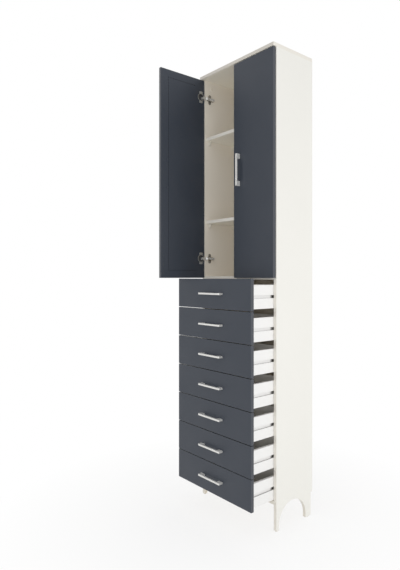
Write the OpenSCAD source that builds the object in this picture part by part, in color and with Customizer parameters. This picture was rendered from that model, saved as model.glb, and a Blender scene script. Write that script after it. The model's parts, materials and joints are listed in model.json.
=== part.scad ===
// Tall narrow cabinet: two doors with shelves behind them above a stack of drawers.
// Lengths are millimetres and angles are degrees. X runs to the right, Y to the rear, Z up.
// The working frame starts at the outer left front corner of the left side panel, on the floor.

/* [Carcass] */
// Width over both side panels
cabinet_w = 500; // [400:1:640]
// Depth of the side panels, front edge to rear edge
side_d = 232; // [200:1:300]
// Thickness of the carcass boards
board_t = 15; // [14:0.5:19]
// Thickness of the hardboard back
back_t = 3; // [2.5:0.1:4]
// Depth of the groove that holds the back
back_groove_d = 6; // [4:0.5:8]
// Height of the lowest front above the floor
front_base = 124; // [110:1:160]
// How far the bottom panel's top stands above the lower edge of the lowest front
bottom_lap = 1; // [0:0.5:4]
// How far the middle panel's top stands above the lower edge of the doors
middle_lap = 8; // [5:0.5:11]

/* [Feet] */
// Length of the front foot along the side panel
front_foot_d = 16; // [14:1:30]
// Length of the rear foot along the side panel
rear_foot_d = 35; // [20:1:50]
// Wood left between the crown of the arch and the bottom panel
crown_wall = 3; // [2:0.5:12]
// Depth of the skirting board notch
notch_d = 11; // [6:1:20]
// Height of the skirting board notch above the floor
notch_h = 105; // [60:1:106]
// Diameter of a floor glide
glide_dia = 12; // [8:0.5:14]
// Height of a floor glide
glide_h = 3; // [2:0.5:5]

/* [Doors] */
// Height of a door
door_h = 964; // [700:1:1100]
// Thickness of doors and drawer fronts
front_t = 15; // [14.5:0.5:19]
// Distance from the carcass to the back of doors and fronts
stand_off = 3; // [2.9:0.1:4]
// Gap between the two doors and between neighbouring fronts
leaf_gap = 3; // [2:0.5:5]
// How far doors and fronts stay inside the outer faces of the sides
reveal = 1; // [0.5:0.1:1.5]
// Gap between the doors and the top panel
top_gap = 4; // [2:0.5:6]
// Edge radius of the lipped boards
edge_r = 1; // [0.5:0.1:1.5]
// Angle at which the left door stands open
left_door_open = 91; // [0:1:95]
// Angle at which the right door stands open
right_door_open = 0; // [0:1:95]

/* [Shelves] */
// Clear height below the lower shelf
lower_clear = 258; // [150:1:300]
// Clear height between the two shelves
middle_clear = 392; // [150:1:420]
// How far the shelves stay behind the front edges of the sides
shelf_inset = 10; // [6:1:30]
// Play at each end of a shelf
shelf_play = 0.5; // [0.2:0.1:1.5]
// Width of a shelf support along the depth
support_w = 18; // [12:1:24]
// Distance from the side's front edge to the middle of the front supports
support_in = 31; // [24:1:60]
// Height of a shelf support
support_h = 20; // [12:1:28]
// Reach of a shelf support under the shelf
support_reach = 12; // [8:1:20]
// Wall thickness of a shelf support
support_t = 2.4; // [1.6:0.1:3.5]
// Diameter of a support's peg
peg_dia = 5; // [4:0.5:6]
// Length of a support's peg
peg_len = 8; // [5:0.5:10]

/* [Drawers] */
// Number of drawers
drawer_count = 7; // [3:1:7]
// Height of a drawer front
front_h = 131; // [120:1:160]
// How far the drawers stand pulled out
drawer_pull = 126; // [0:1:150]
// Length of a drawer side
box_d = 209; // [150:1:215]
// Height of a drawer side
box_h = 98; // [80:1:110]
// Thickness of drawer sides and backs
box_t = 12; // [11:0.5:15]
// Lower edge of a drawer side above the lower edge of its front
box_up = 7; // [5:0.5:12]
// Gap between a drawer side and the cabinet's side
box_gap = 1; // [0.5:0.1:2]
// Thickness of a drawer bottom
base_t = 3; // [2.5:0.1:4]
// Distance from the lower edge of a drawer side to the bottom's groove
base_up = 8; // [6:0.5:14]
// Depth of the grooves that hold a drawer bottom
base_groove_d = 5; // [3:0.5:5]

/* [Runners] */
// Height of the groove along a drawer side
groove_h = 13; // [10:0.5:16]
// Depth of the groove along a drawer side
groove_d = 6; // [4:0.5:6]
// Play above and below a batten in its groove
runner_play = 0.3; // [0.2:0.05:0.6]
// Space between a batten and the floor of its groove
runner_float = 0.6; // [0.3:0.1:1.5]
// How far a batten starts behind the front edge of the side
batten_inset = 12; // [6:1:30]
// Length of a batten
batten_len = 196; // [150:1:196]

/* [Handles] */
// Spacing of a handle's two screws
handle_pitch = 128; // [96:32:128]
// Length of a handle
handle_len = 144; // [140:1:160]
// Width of a handle's bar
bar_w = 8; // [7.5:0.5:12]
// Thickness of a handle's bar
bar_t = 7; // [4:0.5:8]
// Reach of a handle from the board to the front of its bar
handle_reach = 22; // [18:1:35]
// Length of a handle's foot along the bar
handle_foot = 22; // [16:1:26]
// Radius of a handle's outer corners
bow_r = 4; // [2:0.5:6]
// Radius along the front edges of a handle's bar
bar_edge_r = 2; // [1:0.25:3]
// Distance from a door's free edge to the middle of its handle
door_handle_in = 37; // [25:1:60]

/* [Hinges] */
// Height of the lower hinge above the door's lower edge
hinge_low = 95; // [70:1:120]
// Depth of the upper hinge below the door's upper edge
hinge_high = 85; // [70:1:120]
// Diameter of a hinge cup
cup_dia = 35; // [35:0.5:36]
// Depth of a hinge cup
cup_depth = 12.5; // [12:0.1:13]
// Wood left between a hinge cup and the door's edge
cup_edge = 3; // [3:0.1:3.5]
// Wall thickness of a hinge cup
cup_wall = 1.5; // [1:0.1:1.6]
// Floor thickness of a hinge cup
cup_floor = 0.7; // [0.5:0.1:0.8]
// Height of the cup's flange
flange_h = 56; // [55:1:62]
// Width of the cup's flange
flange_w = 19; // [19:1:26]
// Thickness of the cup's flange
flange_t = 1; // [0.8:0.1:1.2]
// Distance from a door's edge to the hinge pin
pin_in = 7.5; // [7.4:0.1:7.6]
// Distance from the inner face of a door to the hinge pin
pin_deep = 9.8; // [9.8:0.1:9.9]
// Radius of a hinge pin
pin_r = 1; // [0.8:0.1:1.1]
// Radial play between a hinge pin and the arm's eye
pin_play = 0.05; // [0.02:0.01:0.1]
// Outer radius of the arm's eye
eye_r = 1.7; // [1.5:0.05:1.75]
// Width of the hinge arm
arm_w = 11; // [9:0.5:12]
// Sheet thickness of the hinge arm
arm_t = 1.6; // [1.2:0.1:1.7]
// Distance from the hinge pin to the outer face of the arm's upright leg
arm_leg = 13.8; // [13.6:0.1:14.2]
// Height of the arm's channel over the side panel
arm_rise = 11.2; // [10:0.1:14]
// Rear end of the arm behind the front edge of the side
arm_end = 54; // [48:1:60]
// Distance from the side's front edge to the screw line of the mounting plate
plate_line = 30; // [28:1:37]
// Spacing of the mounting plate's two screws
plate_pitch = 32; // [30:1:34]
// Radius of the mounting plate's wing ends
wing_r = 7; // [6:0.5:8]
// Base thickness of the mounting plate
plate_t = 2.4; // [2:0.1:3]

/* [Fittings] */
// Diameter of a wooden dowel
dowel_dia = 8; // [6:1:8]
// Length of a wooden dowel
dowel_len = 30; // [25:1:35]
// Diameter of a cam lock
cam_dia = 15; // [12:0.5:15]
// Depth of a cam lock
cam_depth = 12; // [10:0.5:12.5]
// Distance from a board's end to the middle of its cam lock
cam_in = 34; // [24:1:34]
// Diameter of a cam bolt's shank
cam_bolt_dia = 7; // [5:0.5:7]
// How far a cam bolt is screwed into the board that it stands on
cam_bolt_in = 10; // [8:0.5:11]
// Distance of the outermost fittings from the panel's front and rear edge
fitting_in = 40; // [30:1:48]
// Distance from a cam bolt to the dowel beside it
fitting_step = 32; // [24:1:32]

/* [Hidden] */
drawer_parts = ["front", "handle", "sides", "back", "bottom"];
$fn = 48;

// Small play of pieces that are pushed into holes and grooves
seat_play = 0.1;
screw_play = 0.05;
// One overrun for all cuts
over = 2;

// Screws: shank and head sizes
wood_screw_dia = 3.5;
wood_screw_head_dia = 7;
wood_screw_head_h = 2;
wood_screw_grip = 8;
plate_screw_grip = 10;
handle_screw_dia = 4;
handle_screw_grip = 8;
pan_head_dia = 8;
pan_head_h = 2.4;
arm_screw_dia = 4;
arm_screw_head_dia = 7;
arm_screw_head_h = 1.8;
arm_screw_grip = 5;
cup_screw_dia = 3;
cup_screw_head_dia = 6;
cup_screw_head_h = 1;
cup_screw_grip = 9;
cup_screw_spread = 48;
cup_screw_line = 6;
// From the cup's middle to the flange's long edge on the side of the pin
flange_back = 9.2;
rim_w = 0.8;
// How far the pin's ends stay inside the cup's wall
pin_short = 0.4;
boss_play = 0.3;
boss_slim = 1.5;
arm_front = 4;
arm_slope = 6;
plate_front = 12;
wing_corner_r = 3;
nail_dia = 2.5;
nail_len = 12;
cam_head_w = 3;
cam_slot_w = 1.6;
cam_slot_len = 8;
cam_slot_deep = 1;
cam_neck_dia = 5;
batten_screw_in = 30;
support_rib_t = 2.4;

white = [0.95, 0.945, 0.92];
slate = [0.27, 0.285, 0.32];
box_white = [0.96, 0.96, 0.955];
nickel = [0.8, 0.795, 0.77];
steel = [0.62, 0.63, 0.64];
beech = [0.78, 0.66, 0.46];
clear_white = [0.87, 0.86, 0.83];

// Heights from the floor up
pitch = front_h + leaf_gap;
door_z = front_base + drawer_count * pitch;
door_top_z = door_z + door_h;
top_z = door_top_z + top_gap;
cabinet_h = top_z + board_t;
bottom_z = front_base + bottom_lap - board_t;
middle_z = door_z + middle_lap - board_t;
lower_shelf_z = middle_z + board_t + lower_clear;
upper_shelf_z = lower_shelf_z + board_t + middle_clear;
function front_z(i) = front_base + (drawer_count - i) * pitch;

// Widths and depths
inner_w = cabinet_w - 2 * board_t;
inner_d = side_d - notch_d - back_t;
overhang = stand_off + front_t;
door_w = (cabinet_w - 2 * reveal - leaf_gap) / 2;
shelf_d = inner_d - shelf_inset - 2 * shelf_play;
box_x = board_t + box_gap;
batten_h = groove_h - 2 * runner_play;
batten_t = box_gap + groove_d - runner_float;
batten_mid = box_up + box_h / 2;
back_joint_z = middle_z + board_t / 2;

// Feet: the arch between them and the middles of the glides
arch_r = (side_d - notch_d - front_foot_d - rear_foot_d) / 2;
arch_y = front_foot_d + arch_r;
arch_z = bottom_z - crown_wall - arch_r;
foot_middles = [front_foot_d / 2, side_d - notch_d - rear_foot_d / 2];

// Hinge frame: the pin of the left door when that door is shut
pin_x = reveal + pin_in;
pin_y = -stand_off - pin_deep;
cup_x = reveal + cup_edge + cup_dia / 2;
cup_r = cup_dia / 2;
cup_inner_r = cup_r - cup_wall;
// Half the width of the cup's hollow where the pin crosses it
pin_chord = sqrt(cup_inner_r * cup_inner_r - (cup_x - pin_x) * (cup_x - pin_x));
web_x = board_t + arm_rise;
leg_x = pin_x + arm_leg;
hinge_heights = [door_z + hinge_low, door_top_z - hinge_high];
handle_x = reveal + door_w - door_handle_in;
handle_z = door_z + door_h / 2;

// The origin is the middle of the floor area that the cabinet takes up as it stands
function swung_x(x, y, a) = pin_x + (x - pin_x) * cos(a) + (y - pin_y) * sin(a);
function swung_y(x, y, a) = pin_y - (x - pin_x) * sin(a) + (y - pin_y) * cos(a);
handle_corner = [handle_x + bar_w / 2 - bar_edge_r, -overhang - handle_reach + bar_edge_r];
door_corner = [reveal + door_w - edge_r, -stand_off - edge_r];
x_min = min(0, swung_x(handle_corner.x, handle_corner.y, left_door_open) - bar_edge_r);
y_out = -overhang - drawer_pull - handle_reach;
y_min = min(y_out, swung_y(door_corner.x, door_corner.y, left_door_open) - edge_r);
origin = [(x_min + cabinet_w) / 2, (y_min + side_d) / 2, 0];

// Placing
module placed() { translate(-origin) children(); }

module on_the_right() { translate([cabinet_w, 0, 0]) mirror([1, 0, 0]) children(); }

module on_both_sides() {
    children();
    on_the_right() children();
}

module swung(a) {
    translate([pin_x, pin_y, 0]) rotate([0, 0, -a]) translate([-pin_x, -pin_y, 0]) children();
}

module pulled(i) { translate([0, -drawer_pull, front_z(i)]) children(); }

// Shapes used by several pieces
module rounded_rect(size, r) {
    translate([r, 0]) square([size.x - 2 * r, size.y]);
    translate([0, r]) square([size.x, size.y - 2 * r]);
    for (x = [r, size.x - r]) for (y = [r, size.y - r]) translate([x, y]) circle(r);
}

// A board whose edges along X and Z are rounded, while those along Y stay sharp
module lipped_board(size, r) {
    intersection() {
        linear_extrude(size.z) rounded_rect([size.x, size.y], r);
        translate([size.x, 0, 0]) rotate([0, -90, 0]) linear_extrude(size.x)
            rounded_rect([size.z, size.y], r);
    }
}

// A countersunk screw along -Z with its head's face on the plane z = 0
module countersunk_screw(len, dia, head_dia, head_h) {
    rotate_extrude() polygon([
        [0, 0], [head_dia / 2, 0], [dia / 2, -head_h], [dia / 2, -len + dia / 2], [0, -len]
    ]);
}

// The hole for such a screw, a little wider all round
module countersunk_hole(len, dia, head_dia, head_h) {
    rotate_extrude() polygon([
        [0, over], [head_dia / 2 + screw_play, over], [head_dia / 2 + screw_play, 0],
        [dia / 2 + screw_play, -head_h - screw_play], [dia / 2 + screw_play, -len - seat_play],
        [0, -len - seat_play]
    ]);
}

// A pan-head screw along -Z with the underside of its head on the plane z = 0
module pan_screw(len, dia, head_dia, head_h) {
    translate([0, 0, -len]) cylinder(h = len + head_h / 2, d = dia);
    cylinder(h = head_h, d1 = head_dia, d2 = (head_dia + dia) / 2);
}

// Joints between the level panels and the sides
module at_panel_end(z) {
    translate([board_t, 0, z + board_t / 2]) rotate([0, 90, 0]) children();
}

module at_side_top() {
    translate([board_t / 2, 0, top_z]) rotate([0, 180, 0]) mirror([1, 0, 0]) children();
}

function cam_places() = [fitting_in, inner_d - fitting_in];
function dowel_places() = [fitting_in + fitting_step, inner_d - fitting_in - fitting_step];

module cam_bolt() {
    shank_r = cam_bolt_dia / 2;
    neck_r = cam_neck_dia / 2;
    rotate_extrude() polygon([
        [0, -cam_bolt_in], [neck_r, -cam_bolt_in], [neck_r, 0], [shank_r, 0],
        [shank_r, cam_in - cam_dia / 2], [neck_r, cam_in - cam_dia / 2],
        [neck_r, cam_in - cam_head_w], [shank_r, cam_in - cam_head_w], [shank_r, cam_in], [0, cam_in]
    ]);
}

module cam_lock() {
    difference() {
        translate([board_t / 2 - cam_depth, 0, cam_in]) rotate([0, 90, 0])
            cylinder(h = cam_depth, d = cam_dia);
        translate([0, 0, cam_in - cam_dia / 2 - over])
            cylinder(h = cam_dia / 2 + over + seat_play, d = cam_bolt_dia + 2 * seat_play);
        translate([board_t / 2 - cam_slot_deep, -cam_slot_len / 2, cam_in - cam_slot_w / 2])
            cube([cam_slot_deep + over, cam_slot_len, cam_slot_w]);
    }
}

// What a joint takes out of the board whose face it stands on
module face_holes() {
    for (y = cam_places()) translate([0, y, -cam_bolt_in - seat_play])
        cylinder(h = cam_bolt_in + over, d = cam_neck_dia + 2 * screw_play);
    for (y = dowel_places()) translate([0, y, -dowel_len / 3 - seat_play])
        cylinder(h = dowel_len / 3 + over, d = dowel_dia + 2 * seat_play);
}

// What a joint takes out of the board that ends there
module end_holes() {
    for (y = cam_places()) translate([0, y, 0]) {
        translate([0, 0, -over]) cylinder(h = cam_in + over, d = cam_bolt_dia + 2 * seat_play);
        translate([board_t / 2 - cam_depth - seat_play, 0, cam_in]) rotate([0, 90, 0])
            cylinder(h = cam_depth + over, d = cam_dia + 2 * seat_play);
    }
    for (y = dowel_places()) translate([0, y, -over])
        cylinder(h = dowel_len * 2 / 3 + over + seat_play, d = dowel_dia + 2 * seat_play);
}

module at_all_joints() {
    on_both_sides() {
        at_panel_end(middle_z) children();
        at_panel_end(bottom_z) children();
        at_side_top() children();
    }
}

module joint_dowels() {
    color(beech) placed() at_all_joints() for (y = dowel_places())
        translate([0, y, -dowel_len / 3]) cylinder(h = dowel_len, d = dowel_dia);
}

module cam_fittings() {
    color(steel) placed() at_all_joints() for (y = cam_places()) translate([0, y, 0]) {
        cam_bolt();
        cam_lock();
    }
}

// Outline of a side panel, drawn with the depth along x and the height along y
module side_outline() {
    difference() {
        translate([0, glide_h]) rounded_rect([side_d, top_z - glide_h], edge_r);
        translate([side_d - notch_d, 0]) square([notch_d + over, notch_h]);
        translate([arch_y, arch_z]) circle(arch_r, $fn = 96);
        translate([arch_y - arch_r, min(0, arch_z)]) square([2 * arch_r, max(0, arch_z)]);
    }
}

module glide_nail_hole() {
    for (y = foot_middles) translate([board_t / 2, y, 0])
        cylinder(h = glide_h + nail_len + seat_play, d = nail_dia + 2 * screw_play);
}

module back_groove(z0, z1) {
    translate([board_t - back_groove_d, inner_d - seat_play, z0])
        cube([back_groove_d + over, back_t + 2 * seat_play, z1 - z0]);
}

module at_batten_screws() {
    for (i = [1 : drawer_count]) for (y = [batten_screw_in, batten_len - batten_screw_in])
        translate([board_t + batten_t, batten_inset + y, front_z(i) + batten_mid])
            rotate([0, 90, 0]) children();
}

module at_hinges() { for (z = hinge_heights) translate([0, 0, z]) children(); }

module at_plate_screws() {
    for (s = [-1, 1]) translate([board_t + plate_t, plate_line, s * plate_pitch / 2])
        rotate([0, 90, 0]) children();
}

function support_places() = [support_in, inner_d - support_in];
module at_supports() {
    for (z = [lower_shelf_z, upper_shelf_z]) for (y = support_places())
        translate([board_t, y, z]) children();
}

module batten_screw() {
    countersunk_screw(batten_t + wood_screw_grip, wood_screw_dia, wood_screw_head_dia, wood_screw_head_h);
}

module batten_screw_hole() {
    countersunk_hole(batten_t + wood_screw_grip, wood_screw_dia, wood_screw_head_dia, wood_screw_head_h);
}

module plate_screw() {
    countersunk_screw(plate_t + plate_screw_grip, wood_screw_dia, wood_screw_head_dia, wood_screw_head_h);
}

module plate_screw_hole() {
    countersunk_hole(plate_t + plate_screw_grip, wood_screw_dia, wood_screw_head_dia, wood_screw_head_h);
}

module side_panel() {
    difference() {
        rotate([90, 0, 90]) linear_extrude(board_t) side_outline();
        back_groove(bottom_z - seat_play, top_z + over);
        at_panel_end(middle_z) face_holes();
        at_panel_end(bottom_z) face_holes();
        at_side_top() end_holes();
        at_batten_screws() batten_screw_hole();
        at_hinges() at_plate_screws() plate_screw_hole();
        at_supports() peg_hole();
        glide_nail_hole();
    }
}

module left_side_panel() { color(white) placed() side_panel(); }

module right_side_panel() { color(white) placed() on_the_right() side_panel(); }

module top_panel() {
    color(white) placed() difference() {
        translate([0, -overhang, top_z]) lipped_board([cabinet_w, side_d + overhang, board_t], edge_r);
        on_both_sides() at_side_top() face_holes();
        translate([board_t - back_groove_d, inner_d - seat_play, top_z - over])
            cube([inner_w + 2 * back_groove_d, back_t + 2 * seat_play, back_groove_d + over]);
    }
}

module level_panel(z) {
    difference() {
        translate([board_t, 0, z]) cube([inner_w, inner_d, board_t]);
        on_both_sides() at_panel_end(z) end_holes();
    }
}

module middle_panel() { color(white) placed() level_panel(middle_z); }

module bottom_panel() { color(white) placed() level_panel(bottom_z); }

module back_sheet(z0, z1) {
    translate([board_t - back_groove_d + seat_play, inner_d, z0])
        cube([inner_w + 2 * back_groove_d - 2 * seat_play, back_t, z1 - z0]);
}

module upper_back_panel() {
    color(white) placed() back_sheet(back_joint_z + seat_play, top_z + back_groove_d - seat_play);
}

module lower_back_panel() { color(white) placed() back_sheet(bottom_z, back_joint_z - seat_play); }

module shelf(z) {
    translate([board_t + shelf_play, shelf_inset, z])
        lipped_board([inner_w - 2 * shelf_play, shelf_d, board_t], edge_r);
}

module upper_shelf() { color(white) placed() shelf(upper_shelf_z); }

module lower_shelf() { color(white) placed() shelf(lower_shelf_z); }

// Supports: a peg in the side, a plate on it, a ledge under the shelf and a gusset
module peg_hole() {
    translate([-peg_len - seat_play, 0, -support_h / 2]) rotate([0, 90, 0])
        cylinder(h = peg_len + over, d = peg_dia + 2 * screw_play);
}

module shelf_support() {
    translate([0, -support_w / 2, -support_h]) cube([support_t, support_w, support_h]);
    translate([0, -support_w / 2, -support_t]) cube([support_reach, support_w, support_t]);
    translate([0, support_rib_t / 2, 0]) rotate([90, 0, 0]) linear_extrude(support_rib_t)
        polygon([[0, 0], [0, -support_h], [support_t, -support_h], [support_reach, -support_t]]);
    translate([-peg_len, 0, -support_h / 2]) rotate([0, 90, 0])
        cylinder(h = peg_len + support_t / 2, d = peg_dia);
}

module shelf_supports() { color(clear_white) placed() on_both_sides() at_supports() shelf_support(); }

// Runners: battens with round ends, screwed to the sides
module batten() {
    rotate([90, 0, 90]) linear_extrude(batten_t) {
        translate([batten_h / 2, -batten_h / 2]) square([batten_len - batten_h, batten_h]);
        for (x = [batten_h / 2, batten_len - batten_h / 2]) translate([x, 0]) circle(d = batten_h);
    }
}

module runner_battens() {
    color(beech) placed() on_both_sides() difference() {
        for (i = [1 : drawer_count])
            translate([board_t, batten_inset, front_z(i) + batten_mid]) batten();
        at_batten_screws() batten_screw_hole();
    }
}

module carcass_screws() {
    color(steel) placed() on_both_sides() {
        at_batten_screws() batten_screw();
        at_hinges() at_plate_screws() plate_screw();
        at_hinges() at_arm_screws() arm_screw();
    }
}

module floor_glides() {
    color(clear_white) placed() on_both_sides() for (y = foot_middles) translate([board_t / 2, y, 0]) {
        cylinder(h = glide_h, d = glide_dia);
        cylinder(h = glide_h + nail_len, d = nail_dia);
    }
}

// Hinges: a plate and arm on the side panel, a cup with the pin in the door
module at_arm_screws() {
    for (y = [plate_line, plate_line + wing_r + arm_screw_head_dia]) translate([web_x, y, 0])
        rotate([0, 90, 0]) children();
}

module arm_screw() { pan_screw(arm_t + arm_screw_grip, arm_screw_dia, arm_screw_head_dia, arm_screw_head_h); }

module arm_screw_hole() {
    translate([0, 0, -arm_t - arm_screw_grip - seat_play])
        cylinder(h = arm_t + arm_screw_grip + over, d = arm_screw_dia + 2 * screw_play);
}

module arm_web_outline() {
    translate([pin_x, pin_y]) circle(eye_r);
    translate([pin_x, pin_y - arm_t / 2]) square([arm_leg, arm_t]);
    translate([leg_x - arm_t, pin_y - arm_t / 2]) square([arm_t, arm_front - pin_y + arm_t / 2]);
    polygon([
        [leg_x - arm_t, arm_front], [leg_x, arm_front - arm_t], [web_x, arm_front + arm_slope],
        [web_x, arm_end], [web_x - arm_t, arm_end], [web_x - arm_t, arm_front + arm_slope]
    ]);
}

module arm_cheek_outline() {
    polygon([
        [leg_x - arm_t, arm_front - arm_t], [leg_x, arm_front - arm_t],
        [web_x - arm_t / 2, arm_front + arm_slope], [web_x - arm_t / 2, arm_end],
        [board_t + plate_t + seat_play, arm_end],
        [board_t + plate_t + seat_play, arm_front + arm_slope]
    ]);
}

module hinge_arm() {
    difference() {
        union() {
            translate([0, 0, -arm_w / 2]) linear_extrude(arm_w) arm_web_outline();
            for (z = [-arm_w / 2, arm_w / 2 - arm_t]) translate([0, 0, z])
                linear_extrude(arm_t) arm_cheek_outline();
        }
        translate([pin_x, pin_y, -arm_w / 2 - over]) cylinder(h = arm_w + 2 * over, r = pin_r + pin_play);
        at_arm_screws() arm_screw_hole();
    }
}

module hinge_arms() { color(steel) placed() on_both_sides() at_hinges() hinge_arm(); }

// Outline of the plate's base, drawn with the depth along x and the height along y
module plate_outline() {
    translate([plate_front, -wing_r]) rounded_rect([arm_end - plate_front, 2 * wing_r], wing_corner_r);
    translate([plate_line - wing_r, -plate_pitch / 2]) square([2 * wing_r, plate_pitch]);
    for (s = [-1, 1]) translate([plate_line, s * plate_pitch / 2]) circle(wing_r);
}

module hinge_plate() {
    boss_w = arm_w - 2 * arm_t - 2 * boss_play;
    boss_h = arm_rise - arm_t - boss_play;
    difference() {
        union() {
            translate([board_t, 0, 0]) rotate([90, 0, 90]) linear_extrude(plate_t) plate_outline();
            translate([board_t, plate_front + wing_corner_r, -boss_w / 2])
                cube([boss_h, arm_end - plate_front - wing_corner_r - boss_slim, boss_w]);
        }
        at_plate_screws() plate_screw_hole();
        at_arm_screws() arm_screw_hole();
    }
}

module hinge_plates() { color(steel) placed() on_both_sides() at_hinges() hinge_plate(); }

// Door pieces, drawn for the left door when it is shut
module at_cups() {
    for (z = hinge_heights) translate([cup_x, -stand_off, z]) rotate([-90, 0, 0]) children();
}

module at_cup_screws() {
    at_cups() for (s = [-1, 1]) translate([cup_screw_line, s * cup_screw_spread / 2, flange_t])
        children();
}

module at_handle_screws() {
    for (s = [-1, 1]) translate([handle_x, -stand_off, handle_z + s * handle_pitch / 2])
        rotate([-90, 0, 0]) children();
}

module handle_screw() { pan_screw(front_t + handle_screw_grip, handle_screw_dia, pan_head_dia, pan_head_h); }

module handle_screw_hole() {
    translate([0, 0, -front_t - handle_screw_grip - seat_play])
        cylinder(h = front_t + handle_screw_grip + over, d = handle_screw_dia + 2 * screw_play);
}

module cup_screw() {
    countersunk_screw(flange_t + cup_screw_grip, cup_screw_dia, cup_screw_head_dia, cup_screw_head_h);
}

module cup_screw_hole() {
    countersunk_hole(flange_t + cup_screw_grip, cup_screw_dia, cup_screw_head_dia, cup_screw_head_h);
}

module door_panel() {
    difference() {
        translate([reveal, -overhang, door_z]) lipped_board([door_w, front_t, door_h], edge_r);
        at_cups() translate([0, 0, -cup_depth - seat_play])
            cylinder(h = cup_depth + over, r = cup_r + seat_play);
        at_cup_screws() cup_screw_hole();
        at_handle_screws() handle_screw_hole();
    }
}

module hinge_cup() {
    difference() {
        union() {
            translate([0, 0, -cup_depth]) cylinder(h = cup_depth, r = cup_r);
            cylinder(h = flange_t, r = cup_r + rim_w);
            translate([-flange_back, -flange_h / 2, 0])
                linear_extrude(flange_t) rounded_rect([flange_w, flange_h], wing_corner_r);
        }
        translate([0, 0, -cup_depth + cup_floor]) cylinder(h = cup_depth + over, r = cup_inner_r);
        for (s = [-1, 1]) translate([cup_screw_line, s * cup_screw_spread / 2, flange_t]) cup_screw_hole();
    }
    translate([pin_x - cup_x, 0, -pin_deep]) rotate([90, 0, 0])
        cylinder(h = 2 * (pin_chord + cup_wall - pin_short), r = pin_r, center = true);
}

module door_cups() { at_cups() hinge_cup(); }

// Handle drawn along x, with its foot on the plane y = 0 and its bar towards -Y
module bow_handle() {
    difference() {
        intersection() {
            translate([-handle_len / 2, -handle_reach, -bar_w / 2]) linear_extrude(bar_w) difference() {
                union() {
                    rounded_rect([handle_len, handle_reach], bow_r);
                    translate([0, handle_reach / 2]) square([handle_len, handle_reach / 2]);
                }
                translate([handle_foot, bar_t]) rounded_rect(
                    [handle_len - 2 * handle_foot, handle_reach], bar_edge_r);
            }
            translate([handle_len / 2, 0, 0]) rotate([0, -90, 0]) linear_extrude(handle_len) union() {
                translate([-bar_w / 2, -handle_reach])
                    rounded_rect([bar_w, handle_reach], bar_edge_r);
                translate([-bar_w / 2, -handle_reach / 2]) square([bar_w, handle_reach / 2]);
            }
        }
        for (s = [-1, 1]) translate([s * handle_pitch / 2, front_t, 0]) rotate([-90, 0, 0])
            handle_screw_hole();
    }
}

module door_handle() {
    translate([handle_x, -overhang, handle_z]) rotate([0, 90, 0]) bow_handle();
}

module door_screws() {
    at_cup_screws() cup_screw();
    at_handle_screws() handle_screw();
}

module left_door_panel() { color(slate) placed() swung(left_door_open) door_panel(); }

module left_door_handle() { color(nickel) placed() swung(left_door_open) door_handle(); }

module left_hinge_cups() { color(steel) placed() swung(left_door_open) door_cups(); }

module left_door_screws() { color(steel) placed() swung(left_door_open) door_screws(); }

module right_door_panel() { color(slate) placed() on_the_right() swung(right_door_open) door_panel(); }

module right_door_handle() { color(nickel) placed() on_the_right() swung(right_door_open) door_handle(); }

module right_hinge_cups() { color(steel) placed() on_the_right() swung(right_door_open) door_cups(); }

module right_door_screws() { color(steel) placed() on_the_right() swung(right_door_open) door_screws(); }

// Drawers, drawn shut with z = 0 at the lower edge of the front
module base_slot(x, w, y, d) {
    translate([x, y, box_up + base_up - seat_play]) cube([w, d, base_t + 2 * seat_play]);
}

module at_drawer_handle() { translate([cabinet_w / 2, -overhang, front_h / 2]) children(); }

module drawer_front(i) {
    color(slate) placed() pulled(i) difference() {
        translate([reveal, -overhang, 0])
            lipped_board([cabinet_w - 2 * reveal, front_t, front_h], edge_r);
        base_slot(box_x + box_t - base_groove_d, cabinet_w - 2 * (box_x + box_t - base_groove_d),
            -stand_off - base_groove_d, base_groove_d + over);
        at_drawer_handle() for (s = [-1, 1]) translate([s * handle_pitch / 2, front_t, 0])
            rotate([-90, 0, 0]) handle_screw_hole();
    }
}

// The handle and the two screws that hold it through the front
module drawer_handle(i) {
    color(nickel) placed() pulled(i) at_drawer_handle() {
        bow_handle();
        for (s = [-1, 1]) translate([s * handle_pitch / 2, front_t, 0]) rotate([-90, 0, 0])
            handle_screw();
    }
}

module drawer_side() {
    difference() {
        translate([box_x, -stand_off, box_up]) cube([box_t, box_d, box_h]);
        translate([box_x - over, -stand_off - over, batten_mid - groove_h / 2])
            cube([groove_d + over, box_d + 2 * over, groove_h]);
        base_slot(box_x + box_t - base_groove_d, base_groove_d + over, -stand_off - over,
            box_d + 2 * over);
    }
}

module drawer_sides(i) { color(box_white) placed() pulled(i) on_both_sides() drawer_side(); }

module drawer_back(i) {
    base_top = box_up + base_up + base_t + seat_play;
    color(box_white) placed() pulled(i)
        translate([box_x + box_t, -stand_off + box_d - box_t, base_top])
            cube([cabinet_w - 2 * (box_x + box_t), box_t, box_up + box_h - base_top]);
}

module drawer_bottom(i) {
    reach = base_groove_d - seat_play;
    color(box_white) placed() pulled(i)
        translate([box_x + box_t - reach, -stand_off - reach, box_up + base_up])
            cube([cabinet_w - 2 * (box_x + box_t - reach), box_d + reach, base_t]);
}

left_side_panel();
right_side_panel();
top_panel();
middle_panel();
bottom_panel();
upper_back_panel();
lower_back_panel();
upper_shelf();
lower_shelf();
shelf_supports();
runner_battens();
carcass_screws();
joint_dowels();
cam_fittings();
hinge_plates();
hinge_arms();
floor_glides();
left_door_panel();
left_door_handle();
left_hinge_cups();
left_door_screws();
right_door_panel();
right_door_handle();
right_hinge_cups();
right_door_screws();
for (i = [1 : drawer_count]) {
    drawer_front(i);
    drawer_handle(i);
    drawer_sides(i);
    drawer_back(i);
    drawer_bottom(i);
}
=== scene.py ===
"""Looks of a tall cabinet: dark slate doors and drawer fronts on a warm white carcass."""

import json
import math
import random

import bmesh
import bpy
from mathutils import Matrix, Vector
from mathutils.geometry import tessellate_polygon


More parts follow.
